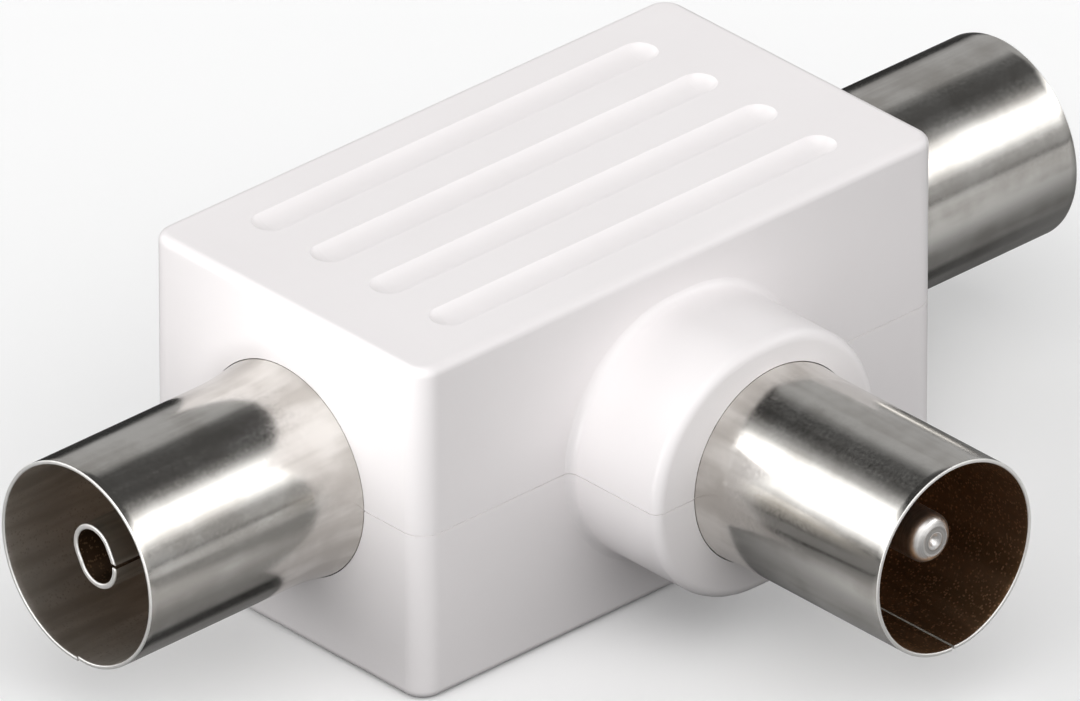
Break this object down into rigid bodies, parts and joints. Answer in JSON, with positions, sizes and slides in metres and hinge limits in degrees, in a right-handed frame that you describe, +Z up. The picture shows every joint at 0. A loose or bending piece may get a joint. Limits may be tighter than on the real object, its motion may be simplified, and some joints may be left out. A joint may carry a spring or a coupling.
{
  "type": "coaxial T adapter",
  "caption": "White moulded T-shaped coaxial adapter: a nickel plug on the side collar joined to a nickel socket at each end.",
  "frame": {"origin": "on the underside, straight below the point where the connectors' axes cross", "axes": "+X through the right socket, -Y through the plug, +Z up"},
  "size_m": [0.057, 0.0351, 0.017],
  "materials": {
    "shell_plastic": "white moulded plastic, satin gloss",
    "nickel": "nickel-plated sheet, bright with faint rolling marks",
    "contact_nickel": "nickel-plated, bright",
    "insulator_board": "dark brown, matt",
    "tinned_steel": "tinned sheet, satin",
    "copper_wire": "bare copper",
    "solder": "bright solder"
  },
  "bodies": {
    "root": {"upper_shell": "shell_plastic", "lower_shell": "shell_plastic", "left_socket_sleeve": "nickel", "right_socket_sleeve": "nickel", "plug_sleeve": "nickel", "left_insulator": "insulator_board", "right_insulator": "insulator_board", "plug_insulator": "insulator_board", "left_contact": "contact_nickel", "right_contact": "contact_nickel", "plug_pin": "contact_nickel", "ground_frame": "tinned_steel", "signal_wire": "copper_wire", "branch_wire": "copper_wire", "solder_joints": "solder"}
  },
  "joints": []
}
